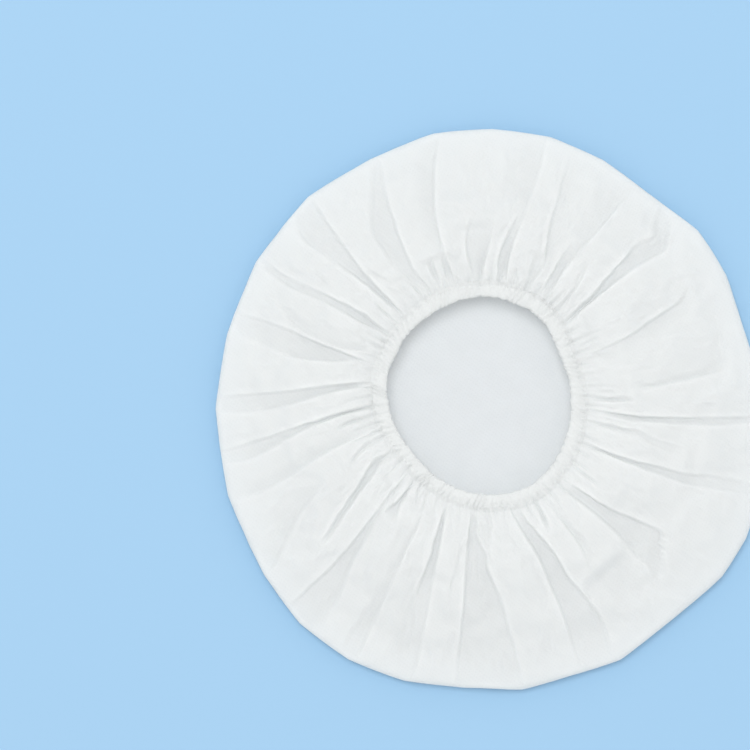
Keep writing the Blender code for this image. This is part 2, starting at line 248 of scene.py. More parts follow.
# The folds of the skirt: sunk strips that run outwards from the hem between sharp edges. Each
# has the softness of its left and right edge in pixels of the photo, seen from the mouth,
# and rows of radius about the mouth in pixels, angles of both edges, and depth as a share of
# foldDepth. Angles grow anticlockwise.
folds = (
    ("soft right", "soft left", "rows of radius, right edge, left edge, depth"),
    (3, 9, ((150, 3.0, 4.2, 0.00), (165, 3.2, 4.4, 0.35), (200, 4.6, 6.0, 0.45), (225, 5.6, 7.2, 0.45),
            (240, 6.5, 9.5, 0.30), (252, 9.0, 16.0, 0.00))),
    (24, 3, ((108, 18.5, 21.0, 0.15), (130, 19.0, 21.5, 0.35), (160, 19.6, 22.2, 0.65),
             (185, 21.0, 23.8, 0.85), (205, 22.2, 24.8, 0.80), (222, 23.3, 25.8, 0.55),
             (234, 26.0, 28.5, 0.00))),
    (3, 3, ((104, 25.8, 27.0, 0.35), (118, 26.0, 27.4, 0.30), (132, 26.0, 27.0, 0.00))),
    (2, 4, ((106, 40.0, 41.0, 0.50), (125, 40.3, 41.6, 0.80), (150, 40.4, 42.0, 1.00),
            (175, 40.3, 43.0, 0.95), (200, 39.8, 43.6, 0.80), (220, 39.0, 44.0, 0.60),
            (235, 38.5, 42.5, 0.55), (248, 40.6, 45.0, 0.45), (262, 44.0, 46.5, 0.20))),
    (2, 2, ((108, 44.2, 45.2, 0.30), (120, 43.6, 44.4, 0.25), (132, 43.0, 43.6, 0.00))),
    (2, 6, ((104, 47.8, 48.6, 0.50), (125, 47.6, 48.6, 0.55), (145, 48.6, 49.6, 0.40),
            (165, 50.6, 51.4, 0.15), (178, 52.0, 53.0, 0.00))),
    (2, 3, ((106, 55.6, 59.0, 0.50), (125, 56.2, 59.4, 0.85), (145, 56.4, 59.4, 0.85),
            (165, 55.8, 59.4, 0.50), (180, 55.4, 59.0, 0.00))),
    (2, 20, ((150, 56.4, 57.5, 0.00), (168, 55.9, 57.5, 0.40), (190, 55.0, 58.0, 0.50),
             (210, 54.5, 58.5, 0.45), (235, 53.8, 58.5, 0.32), (258, 53.2, 58.0, 0.08))),
    (2, 5, ((106, 64.8, 66.0, 0.40), (118, 65.4, 67.4, 0.60), (128, 65.2, 67.6, 0.60),
            (140, 64.6, 68.2, 0.45), (150, 64.2, 68.6, 0.20), (158, 64.0, 68.6, 0.00))),
    (18, 2, ((140, 62.5, 64.2, 0.10), (152, 63.0, 64.8, 0.55), (165, 64.0, 66.0, 0.70),
             (180, 65.0, 67.4, 0.65), (200, 65.5, 68.2, 0.50), (225, 66.0, 68.8, 0.35),
             (245, 66.5, 69.2, 0.15), (258, 67.0, 69.5, 0.00))),
    (2, 2, ((110, 69.8, 70.8, 0.30), (122, 72.0, 73.0, 0.35), (134, 74.0, 74.8, 0.00))),
    (2, 3, ((106, 76.5, 80.5, 0.60), (120, 77.4, 81.4, 0.85), (140, 78.2, 82.0, 0.90),
            (155, 77.8, 80.8, 0.75), (170, 77.0, 79.2, 0.50), (190, 76.2, 77.8, 0.25),
            (215, 75.7, 77.2, 0.00))),
    (2, 22, ((160, 77.4, 78.5, 0.00), (185, 76.2, 78.5, 0.35), (210, 75.7, 79.0, 0.40),
             (240, 75.3, 79.0, 0.30), (264, 75.5, 79.0, 0.10))),
    (3, 3, ((102, 90.0, 92.0, 0.70), (115, 89.4, 92.8, 0.85), (130, 88.2, 94.0, 0.70),
            (145, 87.0, 95.0, 0.50), (160, 86.0, 94.5, 0.30), (175, 85.2, 93.0, 0.12),
            (195, 84.2, 88.0, 0.00))),
    (2, 3, ((104, 102.4, 104.2, 0.40), (122, 102.3, 105.4, 0.85), (134, 103.4, 105.6, 0.60),
            (146, 104.2, 105.6, 0.00))),
    (2, 20, ((135, 104.2, 105.5, 0.10), (160, 104.2, 107.0, 0.55), (185, 103.8, 107.0, 0.70),
             (210, 102.4, 106.0, 0.65), (235, 101.0, 104.5, 0.50), (255, 99.4, 102.5, 0.32),
             (268, 98.6, 101.0, 0.10))),
    (3, 3, ((108, 108.6, 109.8, 0.30), (122, 108.8, 110.4, 0.50), (136, 109.2, 111.0, 0.50),
            (148, 109.0, 110.8, 0.00))),
    (2, 2, ((102, 114.2, 115.6, 0.70), (113, 114.8, 116.4, 0.80), (122, 115.2, 116.8, 0.40),
            (132, 116.4, 117.2, 0.30), (142, 117.0, 117.8, 0.00))),
    (2, 2, ((108, 119.0, 120.0, 0.30), (120, 119.6, 120.6, 0.45), (134, 121.0, 121.8, 0.00))),
    (3, 5, ((122, 116.4, 119.5, 0.15), (140, 117.4, 121.8, 0.50), (155, 117.4, 122.8, 0.60),
            (175, 116.8, 123.2, 0.65), (198, 115.8, 122.6, 0.60), (215, 115.0, 119.8, 0.50),
            (235, 114.0, 116.8, 0.40), (256, 112.6, 114.4, 0.20), (266, 112.2, 113.8, 0.05))),
    (2, 4, ((102, 132.6, 133.8, 0.60), (125, 132.8, 134.2, 0.95), (150, 133.0, 134.8, 0.95),
            (170, 132.8, 135.6, 0.80), (190, 132.4, 136.8, 0.65), (215, 131.6, 137.8, 0.50),
            (240, 130.8, 137.8, 0.40), (256, 130.2, 136.0, 0.20), (266, 130.0, 134.0, 0.05))),
    (2, 2, ((112, 138.0, 138.8, 0.25), (128, 138.0, 138.8, 0.30), (142, 137.6, 138.2, 0.00))),
    (3, 2, ((108, 145.4, 146.4, 0.30), (120, 145.0, 146.6, 0.70), (135, 144.8, 147.6, 0.90),
            (155, 145.2, 148.0, 0.80), (175, 146.2, 148.4, 0.65), (195, 147.0, 149.2, 0.60),
            (215, 147.8, 149.8, 0.50), (238, 148.0, 149.4, 0.40), (262, 147.0, 148.6, 0.10))),
    (14, 3, ((112, 156.4, 157.4, 0.30), (130, 157.8, 159.0, 0.50), (150, 159.2, 160.6, 0.40),
             (170, 158.6, 160.2, 0.45), (188, 157.6, 159.6, 0.40), (210, 155.0, 157.0, 0.20),
             (230, 152.0, 154.0, 0.00))),
    (2, 4, ((116, 162.6, 163.4, 0.10), (128, 162.4, 163.6, 0.60), (145, 161.8, 165.6, 0.85),
            (165, 161.4, 167.0, 0.90), (185, 161.0, 167.6, 0.80), (205, 160.6, 167.0, 0.50),
            (235, 160.6, 165.6, 0.30), (266, 161.0, 164.0, 0.05))),
    (2, 3, ((100, 171.6, 173.0, 0.60), (115, 172.8, 174.6, 0.80), (135, 174.6, 176.6, 0.95),
            (155, 176.2, 178.8, 0.95), (175, 177.6, 181.0, 0.80), (200, 178.6, 183.0, 0.60),
            (235, 179.6, 183.6, 0.35), (266, 180.0, 183.0, 0.05))),
    (2, 2, ((96, 183.2, 184.2, 0.50), (115, 185.0, 186.0, 0.80), (140, 186.6, 187.6, 0.80),
            (168, 188.6, 189.8, 0.80), (195, 190.0, 192.4, 0.60), (225, 191.2, 194.6, 0.40),
            (262, 192.0, 195.0, 0.08))),
    (2, 2, ((108, 190.0, 190.8, 0.30), (122, 190.2, 191.2, 0.50), (134, 190.8, 192.0, 0.40),
            (146, 192.4, 193.6, 0.00))),
    (13, 3, ((106, 195.4, 196.2, 0.30), (122, 196.0, 197.4, 0.60), (140, 196.6, 198.6, 0.60),
             (160, 197.4, 199.8, 0.60), (180, 198.4, 201.0, 0.60), (205, 199.6, 202.4, 0.50),
             (235, 200.6, 203.4, 0.30), (266, 201.0, 203.0, 0.05))),
    (3, 3, ((110, 203.0, 204.0, 0.30), (128, 203.8, 205.0, 0.40), (138, 205.6, 207.0, 0.30),
            (146, 207.6, 208.8, 0.00))),
    (3, 3, ((102, 212.0, 213.6, 0.50), (118, 211.4, 213.8, 0.90), (132, 213.2, 216.2, 0.90),
            (150, 216.4, 218.4, 0.85), (175, 219.2, 220.8, 0.75), (200, 221.6, 222.8, 0.50),
            (214, 222.6, 223.6, 0.00))),
    (18, 3, ((175, 207.0, 209.0, 0.00), (205, 209.5, 212.0, 0.40), (235, 213.0, 216.0, 0.45),
             (258, 215.5, 219.0, 0.30), (278, 217.0, 220.0, 0.08))),
    (2, 5, ((102, 226.6, 227.8, 0.40), (122, 227.2, 228.2, 0.80), (140, 227.8, 228.6, 0.50),
            (160, 228.3, 229.6, 0.60), (185, 228.9, 231.2, 0.85), (210, 229.1, 232.4, 0.90),
            (230, 228.9, 234.0, 0.75), (250, 228.4, 235.0, 0.50), (275, 227.9, 235.0, 0.32),
            (290, 227.6, 234.0, 0.15))),
    (2, 2, ((104, 232.0, 233.0, 0.60), (122, 232.0, 233.0, 0.90), (134, 231.6, 233.4, 0.60),
            (143, 230.2, 234.8, 0.30), (148, 230.0, 235.0, 0.00))),
    (2, 2, ((104, 235.6, 236.6, 0.40), (114, 236.8, 237.8, 0.50), (124, 239.0, 240.0, 0.00))),
    (2, 2, ((104, 240.5, 241.3, 0.30), (116, 241.8, 242.6, 0.35), (128, 243.0, 243.6, 0.00))),
    (8, 2, ((140, 243.4, 244.4, 0.15), (165, 243.2, 244.4, 0.30), (200, 242.4, 244.6, 0.42),
            (235, 242.0, 244.8, 0.52), (265, 241.6, 244.9, 0.42), (292, 241.4, 244.9, 0.15))),
    (3, 2, ((98, 252.0, 253.6, 0.60), (125, 252.4, 254.0, 0.85), (150, 252.8, 254.8, 0.90),
            (175, 253.0, 255.4, 0.85), (195, 252.6, 255.8, 0.60), (215, 252.0, 256.2, 0.20),
            (230, 251.0, 256.4, 0.00))),
    (16, 2, ((180, 252.0, 255.4, 0.00), (215, 251.0, 256.2, 0.40), (245, 250.6, 256.6, 0.40),
             (275, 251.0, 256.8, 0.30), (292, 251.4, 256.6, 0.12))),
    (2, 2, ((102, 258.8, 260.0, 0.25), (116, 259.4, 260.4, 0.30), (126, 260.0, 260.8, 0.00))),
    (2, 3, ((100, 265.6, 268.6, 0.60), (120, 265.8, 268.4, 0.95), (140, 265.6, 268.8, 0.90),
            (155, 265.6, 272.0, 0.80), (170, 265.6, 272.6, 0.85), (185, 265.8, 274.2, 0.90),
            (205, 265.8, 276.0, 0.75), (230, 265.6, 277.0, 0.48), (255, 265.5, 278.0, 0.34),
            (280, 265.5, 278.4, 0.22), (296, 265.5, 278.5, 0.10))),
    (6, 4, ((102, 270.0, 274.4, 0.35), (125, 269.6, 274.8, 0.45), (145, 270.0, 274.0, 0.35),
            (160, 271.0, 273.4, 0.10), (170, 272.0, 273.6, 0.00))),
    (2, 3, ((102, 285.6, 288.8, 0.50), (118, 285.8, 289.6, 0.75), (130, 286.8, 290.8, 0.90),
            (145, 288.2, 292.8, 0.95), (160, 289.6, 294.4, 0.95), (178, 290.6, 295.6, 1.00),
            (200, 290.7, 296.2, 0.90), (222, 291.0, 297.8, 0.75), (242, 291.0, 298.8, 0.50),
            (265, 290.7, 298.4, 0.30), (294, 290.6, 297.0, 0.12))),
    (2, 2, ((104, 297.6, 298.6, 0.40), (120, 297.6, 298.8, 0.60), (135, 297.2, 298.4, 0.50),
            (150, 296.8, 297.8, 0.00))),
    (3, 9, ((110, 302.4, 303.4, 0.30), (128, 303.2, 304.4, 0.50), (140, 303.2, 305.0, 0.40),
            (160, 303.8, 305.4, 0.45), (180, 303.8, 305.6, 0.35), (195, 302.8, 304.6, 0.15),
            (205, 301.0, 303.0, 0.00))),
    (12, 12, ((206, 302.0, 311.0, 0.00), (218, 302.0, 311.0, 0.24), (238, 303.0, 311.0, 0.24),
              (260, 304.0, 310.0, 0.00))),
    (3, 2, ((104, 310.6, 313.6, 0.35), (120, 311.6, 315.8, 0.70), (135, 313.2, 317.2, 0.85),
            (155, 314.4, 318.4, 0.85), (175, 314.9, 319.8, 0.80), (195, 315.0, 321.6, 0.70),
            (212, 314.6, 322.8, 0.60), (224, 314.4, 323.2, 0.40), (240, 315.0, 319.0, 0.30),
            (256, 313.0, 316.0, 0.00))),
    (2, 2, ((106, 323.0, 324.0, 0.40), (125, 323.0, 324.2, 0.50), (142, 322.8, 323.8, 0.15),
            (152, 322.6, 323.4, 0.00))),
    (2, 3, ((98, 335.4, 336.4, 0.50), (120, 335.6, 336.6, 0.85), (145, 335.9, 336.9, 0.90),
            (170, 336.3, 337.6, 0.85), (195, 336.8, 338.8, 0.75), (220, 337.2, 339.6, 0.60),
            (245, 338.4, 341.2, 0.40), (270, 339.6, 342.0, 0.20), (296, 340.0, 342.4, 0.05))),
    (3, 3, ((110, 346.8, 347.8, 0.30), (125, 346.6, 347.8, 0.55), (145, 346.4, 347.6, 0.55),
            (162, 346.2, 347.6, 0.40), (180, 344.5, 346.6, 0.30), (198, 343.6, 346.0, 0.15),
            (212, 343.5, 345.5, 0.00))),
    (3, 2, ((106, 353.0, 354.0, 0.25), (125, 352.4, 353.4, 0.45), (145, 351.9, 353.1, 0.90),
            (165, 351.8, 353.1, 0.85), (190, 352.2, 353.8, 0.80), (215, 352.8, 354.4, 0.70),
            (240, 353.4, 355.0, 0.60), (265, 354.4, 355.6, 0.45), (292, 355.0, 356.0, 0.25))),
    (2, 2, ((108, 358.4, 359.4, 0.30), (125, 358.4, 359.6, 0.45), (140, 358.4, 359.6, 0.35),
            (152, 358.4, 359.4, 0.00))),
)

# Short creases across the puffs: from one angle and radius to another, half width in pixels,
# and depth as a share of foldDepth, below 0 where the cloth stands up
creases = (
    ("fromAngle", "fromRadius", "toAngle", "toRadius", "wide", "depth"),
    (7.0, 240, 20.0, 252, 7, 0.16),
    (27.0, 231, 30.5, 236, 3, 0.20),
    (28.5, 214, 31.0, 224, 3, 0.12),
    (43.0, 212, 47.0, 222, 5, 0.12),
    (142.0, 203, 146.5, 184, 4, 0.20),
    (315.0, 251, 323.0, 223, 5, 0.25),
    (314.5, 236, 318.5, 222, 5, -0.12),
    (322.0, 168, 334.0, 164, 6, -0.16),
    (325.0, 159, 331.0, 158, 4, 0.10),
    (302.0, 204, 312.0, 203, 7, -0.14),
    (119.0, 152, 127.0, 160, 5, 0.08),
    (80.0, 199, 85.0, 205, 5, 0.08),
    (90.0, 168, 99.0, 164, 4, 0.08),
    (136.0, 148, 142.0, 153, 4, 0.10),
    (66.0, 152, 71.0, 149, 3, 0.10),
    (299.0, 200, 303.0, 196, 3, 0.10),
    (24.0, 172, 29.0, 160, 6, -0.10),
    (207.0, 160, 213.0, 168, 6, -0.08),
    (259.0, 232, 263.0, 226, 6, 0.06),
    (92.5, 175, 92.0, 252, 24, 0.14),     # the last four are wide hollows
    (63.0, 188, 62.0, 252, 18, 0.12),
    (128.0, 180, 127.0, 240, 16, 0.10),
    (286.0, 225, 286.0, 275, 14, 0.10),
)

# Rise of the skirt from the stitch line out to the rim, and how deep the valleys are there
skirtSections = (
    ("place", "lift", "fold"),
    (0.000, 0.00, 0.30),
    (0.055, 0.34, 0.55),
    (0.115, 0.64, 0.85),
    (0.190, 0.88, 1.00),
    (0.290, 1.00, 1.00),
    (0.410, 0.97, 0.95),
    (0.540, 0.82, 0.85),
    (0.670, 0.60, 0.78),
    (0.790, 0.38, 0.82),
    (0.900, 0.17, 0.84),
    (1.000, 0.00, 0.60),
)


def outlineShare(angle):
    # the outline: a part of the way from the smooth curve to straight runs between the table's
    # points, where the cloth is stretched from one fold to the next
    known, share = column(outline, "angle"), column(outline, "share")
    known, share = np.append(known, known[0] + 360), np.append(share, share[0])
    turn = known[0] + (angle - known[0]) % 360
    row = np.clip(np.searchsorted(known, turn, side="right") - 1, 0, len(known) - 2)
    before, after = np.radians(turn - known[row]), np.radians(known[row + 1] - turn)
    straight = (share[row] * share[row + 1] * np.sin(before + after)
                / (share[row] * np.sin(before) + share[row + 1] * np.sin(after)))
    return straight + (1 - cloth["corners"]) * (roundCurve(outline, "share", angle) - straight)


def outlineShift():
    # the middle of the outline's extents, which is the origin of the CAD model
    angle = np.arange(0, 360, 1.0)
    points = heading(angle) * (cloth["rimRadius"] * outlineShare(angle))[:, None]
    return (points.min(axis=0) + points.max(axis=0)) / 2


def rimPoint(angle, inset):
    # over the outline: radius is its share of rimRadius less the inset
    radius = cloth["rimRadius"] * outlineShare(angle) - inset
    return heading(angle) * radius[..., None] - outlineShift()


def mouthPoint(angle, outset):
    # over the hem: radius about the mouth's middle is its share of mouthRadius and the outset
    radius = cloth["mouthRadius"] * roundCurve(mouth, "share", angle) + outset
    return heading(angle) * radius[..., None] + np.array(cloth["mouthShift"]) - outlineShift()


def pleatWave(angle, count, seed):
    # gathers with round tops and narrow valleys, of uneven pitch and height, from 0 to 1:
    # height (1/2 + 1/2 cos(turns + wander)) ^ 0.5
    wander = cloth["pleatWander"] * softNoise(angle, angle * 0, int(count * 0.58), 1, seed)
    height = 0.65 + 0.35 * softNoise(angle, angle * 0, int(count * 0.53), 1, seed + 1)
    return height * (0.5 + 0.5 * np.cos(2 * np.pi * (angle / 360 * count + wander))) ** 0.5


def foldFall(angle, radius):
    # How far the folds drop, as a share of foldDepth. Inside a strip the cloth lies at its depth,
    # each edge is a smooth step as wide as its softness, and beside the strip the puffs round
    # off towards it as a bell of the distance. The second value is the strips alone, the third
    # the doubled cloth along the outer side of each sharp edge, a narrow bell.
    pixel = view["metresPerPixel"]
    radius = radius / pixel
    arc = np.radians(1) * radius
    sunk, rounded, crest = np.zeros_like(angle), np.zeros_like(angle), np.zeros_like(angle)
    for softRight, softLeft, rows in folds[1:]:
        at, right, left, depth = np.array(rows, dtype=float).T
        middle = (right[0] + left[-1]) / 2
        turn = middle + (angle - middle + 180) % 360 - 180
        r0 = np.clip(radius, at[0], at[-1])
        fade = (np.clip(1 - (at[0] - radius) / cloth["foldFade"], 0, 1)
                * np.clip(1 - (radius - at[-1]) / cloth["foldFade"], 0, 1))
        deep = np.clip(hermite(at, depth, r0), 0, 1) ** cloth["foldPower"] * fade
        beyondRight = (turn - hermite(at, right, r0)) * arc
        beyondLeft = (hermite(at, left, r0) - turn) * arc
        strip = smoothStep(-softRight / 2, softRight / 2, beyondRight)
        strip = deep * strip * smoothStep(-softLeft / 2, softLeft / 2, beyondLeft)
        away = np.maximum(np.maximum(-beyondRight, -beyondLeft), 0)
        sunk = np.maximum(sunk, strip)
        rounded += deep * np.exp(-((away / cloth["puffEdge"]) ** 2))
        for soft, beyond in ((softRight, beyondRight), (softLeft, beyondLeft)):
            if soft <= cloth["crestSoftest"]:
                bell = np.exp(-(((-beyond - cloth["crestOffset"]) / cloth["crestWidth"]) ** 2))
                crest = np.maximum(crest, np.sqrt(np.clip(deep, 0, 1)) * bell)
    # a crease is a bell of the distance from its line, lower towards the line's ends
    for fromAngle, fromRadius, toAngle, toRadius, wide, depth in creases[1:]:
        start, end = heading(fromAngle) * fromRadius, heading(toAngle) * toRadius
        point = heading(angle) * radius[..., None] - start
        along = np.clip(point @ (end - start) / ((end - start) @ (end - start)), 0, 1)
        away = np.linalg.norm(point - along[..., None] * (end - start), axis=-1)
        taper = 1 - (2 * along - 1) ** 4 * 0.6
        rounded += depth * taper * np.exp(-np.abs(away / wide) ** 1.5) / cloth["puffShare"]
    rounded = np.tanh(rounded)
    return (1 - cloth["puffShare"]) * sunk + cloth["puffShare"] * rounded, sunk, crest


# Short small valleys close to the hem, between the main ones
dimples = dict(
    count=62, uneven=0.8, seed=5,
    wide=(0.7, 1.7), reach=(0.06, 0.28), depth=(0.00036, 0.00156),   # least and most
)


def dimpleFall(angle, out):
    # the sum of bells of the angle from each valley's middle, each fading by a smooth step outwards
    chance = np.random.default_rng(dimples["seed"])
    total = np.zeros_like(angle)
    count, uneven = dimples["count"], dimples["uneven"]
    where = (np.arange(count) + chance.uniform(-uneven, uneven, count)) * 360 / count
    for k in range(count):
        off = (angle - where[k] + 180) % 360 - 180
        wide, reach, depth = (chance.uniform(*dimples[name]) for name in ("wide", "reach", "depth"))
        total += depth * np.exp(-((off / wide) ** 2)) * (1 - smoothStep(0.2 * reach, reach, out))
    return total


# Unevenness of the skirt between the folds: height, and how often it changes round and outwards
unevenness = (
    ("height", "around", "across", "seed", "twist"),
    (0.0009, 26, 4, 1, 0),
    (0.0006, 64, 7, 2, 3),
    (-0.0007, 47, 6, 4, -9),     # creases: the size of the noise is taken, so it has a sharp valley
    (0.00022, 150, 16, 3, 0),
)


def skirtHeight(angle, out, flat):
    # a straight line from hem to rim, the lift of skirtSections, less the folds, dimples and creases
    c = cloth
    place = column(skirtSections, "place")
    lift = hermite(place, column(skirtSections, "lift"), out)
    fold = hermite(place, column(skirtSections, "fold"), out)
    fromMouth = flat - np.array(c["mouthShift"]) + outlineShift()
    turn = np.degrees(np.arctan2(fromMouth[..., 1], fromMouth[..., 0]))
    fall, sunk, crest = foldFall(turn, np.linalg.norm(fromMouth, axis=-1))
    begun = smoothStep(0, 0.1, out)
    crest = crest * (1 - sunk) * begun * (0.65 + 0.35 * softNoise(angle, out, 70, 7, 5))
    straight = c["skirtHeight"] + out * (c["rimMiddle"] + c["rimRoll"] - c["skirtHeight"])
    soft = 0
    for high, around, across, seed, twist in unevenness[1:]:
        noise = softNoise(angle + twist * out, out, around, across, seed)
        soft = soft + high * (noise if high > 0 else np.abs(noise))
    height = (straight + c["lift"] * lift - c["foldDepth"] * fold * fall + c["crestHeight"] * fold * crest
              - fold * dimpleFall(angle, out)
              + soft * smoothStep(0, 0.12, out) * (1 - smoothStep(0.85, 1, out)))
    return height, sunk * begun, crest


def pleatSwell(angle):
    # the fine pleats and the wide gathers above their mean levels
    c = cloth
    return (c["pleatHeight"] * (pleatWave(angle, c["pleats"], 11) - c["pleatLevel"]),
            c["gatherHeight"] * (pleatWave(angle, c["gathers"], 14) - c["pleatLevel"]))


def hemSwell(angle, across):
    # the pleats lean a little across the hem and are lowest on its inner edge
    fine = pleatSwell(angle + cloth["pleatLean"] * across)[0]
    return (fine + 0.4 * pleatSwell(angle)[1]) * (0.6 + 0.4 * smoothStep(-0.6, 0.9, across))


def hemSection(turn):
    # the hem's flattened oval, across from -1 at the mouth to 1, and up: cos and sin to the powers
    # of hemSquare, with their signs
    turn = np.radians(turn)
    return (np.sign(np.cos(turn)) * np.abs(np.cos(turn)) ** cloth["hemSquare"][0],
            np.sign(np.sin(turn)) * np.abs(np.sin(turn)) ** cloth["hemSquare"][1])


def stitchPlaces():
    # the angle of each stitch, at an uneven pitch
    angle = np.arange(thread["count"]) * 360 / thread["count"]
    return angle + thread["uneven"] * softNoise(angle, angle * 0, 57, 1, 31)


def stitchPull(angle, outset):
    # the thread holds the cloth down along its line, and more at each stitch: bells of the distance
    t = thread
    away = (outset - t["outset"]) / t["pullWidth"]
    apart = np.abs((angle[..., None] - stitchPlaces() + 180) % 360 - 180).min(axis=-1)
    near = np.exp(-((apart / t["pullAngle"]) ** 2))
    return t["pull"] * (0.3 + 0.7 * near) * np.exp(-(away ** 2))


def hemTop(angle, outset):
    # height of the hem's upper side over a point so far out from the mouth's inner edge: the oval
    # section at that place, its swell, and the thread's pull
    c = cloth
    half = c["hemWidth"] / 2
    across = np.clip((outset - half) / half, -1, 1)
    level = np.sqrt(1 - np.abs(across) ** (2 / c["hemSquare"][0])) ** c["hemSquare"][1]
    swell = hemSwell(angle, across)
    return c["hemHeight"] + level * (c["hemThickness"] / 2 + swell) - stitchPull(angle, outset)


def hemRows(angle):
    # the turned hem: an oval tube from the stitch line round under the mouth's edge and back
    # over the top, with the fine gathers standing out of it
    c = cloth
    edge = pleatWave(angle, c["edgePleats"], 23)
    lumps = c["hemLump"] * (0.6 * softNoise(angle, angle * 0, 33, 1, 21)
                            + 0.4 * softNoise(angle, angle * 0, 95, 1, 22))
    rows = []
    # the raw edge, ruffled inside the hem
    for share in c["edgeRows"]:
        flat = mouthPoint(angle, c["hemWidth"] * (c["edgePlace"][0] - c["edgePlace"][1] * share))
        ruffle = c["hemHeight"] - c["edgeDrop"] * c["hemThickness"] + c["edgeRuffle"] * share * edge
        rows.append(np.column_stack((flat, ruffle)))
    half = c["hemWidth"] / 2
    under, over = c["hemRows"]
    turns = np.concatenate((np.linspace(-c["hemOpen"], -180, under, endpoint=False),
                            np.linspace(-180, c["hemOpen"] - 360, over)))
    for turn in turns:
        across, up = hemSection(turn)
        swell = hemSwell(angle, across)
        outset = half + across * (half + 0.8 * swell + lumps)
        height = c["hemHeight"] + up * (c["hemThickness"] / 2 + swell)
        if up > 0:
            height = height - stitchPull(angle, outset)
        rows.append(np.column_stack((mouthPoint(angle, outset), height)))
    return rows


def skirtRows(angle):
    # rings from the hem to the rim, closer together by the hem. On the skirt's height lie the fine
    # pleats, which die away outwards as exp(-out), and the wide gathers, which swell a little first.
    c = cloth
    groove = mouthPoint(angle, c["hemWidth"] + c["grooveWidth"])
    start = mouthPoint(angle, c["hemWidth"] + c["skirtStart"])
    end = rimPoint(angle, c["rimRoll"])
    fine, wide = pleatSwell(angle)
    fine = fine * c["skirtPleats"]
    gather, swell = c["gatherReach"]
    rows = [np.column_stack((groove, c["skirtHeight"] - c["grooveDepth"] + fine + wide))]
    paintedFoldShade, crests = [np.zeros_like(angle)], [np.zeros_like(angle)]
    for out in np.linspace(0, 1, c["skirtRows"]) ** c["skirtSpacing"]:
        flat = start + out * (end - start)
        ripple = (fine * math.exp(-out / c["pleatReach"])
                  + wide * (math.exp(-out / gather) + 4 * out * math.exp(-out / swell)))
        height, sunk, crest = skirtHeight(angle, np.full_like(angle, out), flat)
        rows.append(np.column_stack((flat, height + ripple)))
        # the strips' depth, kept as the painted shade of the valleys
        paintedFoldShade.append(sunk)
        crests.append(crest)
    return rows, paintedFoldShade, crests


def rimRows(angle):
    # the rim: a quarter circle above, a flatter quarter oval below, and small puckers on its edge
    c = cloth
    pucker = 0.6 * softNoise(angle, angle * 0, 44, 1, 41) + 0.4 * softNoise(angle, angle * 0, 117, 1, 42)
    # the folds run out over the upper quarter
    fromMouth = rimPoint(angle, c["rimRoll"]) - np.array(c["mouthShift"]) + outlineShift()
    turned = np.degrees(np.arctan2(fromMouth[:, 1], fromMouth[:, 0]))
    share = skirtSections[-1][skirtSections[0].index("fold")]
    fall = c["foldDepth"] * share * foldFall(turned, np.linalg.norm(fromMouth, axis=1))[0]
    rows = []
    for turn in np.linspace(90, -90, c["rimRows"] + 1)[1:]:
        across, up = math.cos(math.radians(turn)), math.sin(math.radians(turn))
        width = c["rimRoll"] if turn > 0 else c["rimSweep"]
        height = c["rimRoll"] if turn > 0 else c["rimMiddle"] - c["crownHeight"]
        flat = rimPoint(angle, width * (1 - across) + 0.3 * c["rimPucker"] * across * (1 + pucker))
        rows.append(np.column_stack((flat, c["rimMiddle"] + height * up + c["rimPucker"] * across * pucker
                                     - max(up, 0) * fall)))
    return rows


def crownRows(edge):
    # the crown: rings of the rim's shape, smaller and smaller about the middle of the mouth
    c = cloth
    middle = np.array(c["mouthShift"]) - outlineShift()
    rows = []
    for share in c["crownRings"]:
        flat = middle + share * (edge[:, :2] - middle)
        rows.append(np.column_stack((flat, np.full(len(flat), c["crownHeight"]))))
    return rows, np.array((*middle, c["crownHeight"]))


# Crumple: the skirt as a coarse cloth a little too large for its place, simulated while soft
# springs hold it near its shape. Only how far it moved is kept, and added to the fine sheet.

crumple = dict(
    rowStep=2, columnStep=3,     # the coarse cloth takes every so many rows and columns
    frames=24, quality=6, growth=0.016,
    hold=0.12, holdStiffness=0.6, heldRows=3,    # these rows at the hem and at the rim don't move
    weight=0.00002, stretch=12.0, bend=0.10, damping=8.0, gravity=0.3,
    reach=0.0011,                # no point moves further
)


def between(values, step, closed):
    # cubic (Catmull-Rom) values at `step` places from each row of values to the next
    t = (np.arange(step) / step)[:, None, None]
    weights = (-t / 2 + t * t - t ** 3 / 2, 1 - 5 * t * t / 2 + 3 * t ** 3 / 2,
               t / 2 + 2 * t * t - 3 * t ** 3 / 2, (t ** 3 - t * t) / 2)
    last = len(values) - 1
    result = []
    for i in range(len(values) if closed else last):
        near = [i - 1, i, i + 1, i + 2]
        near = [k % len(values) for k in near] if closed else [min(max(k, 0), last) for k in near]
        result.append(sum(w * values[k] for w, k in zip(weights, near)))
    if not closed:
        result.append(values[-1:])
    return np.concatenate(result)


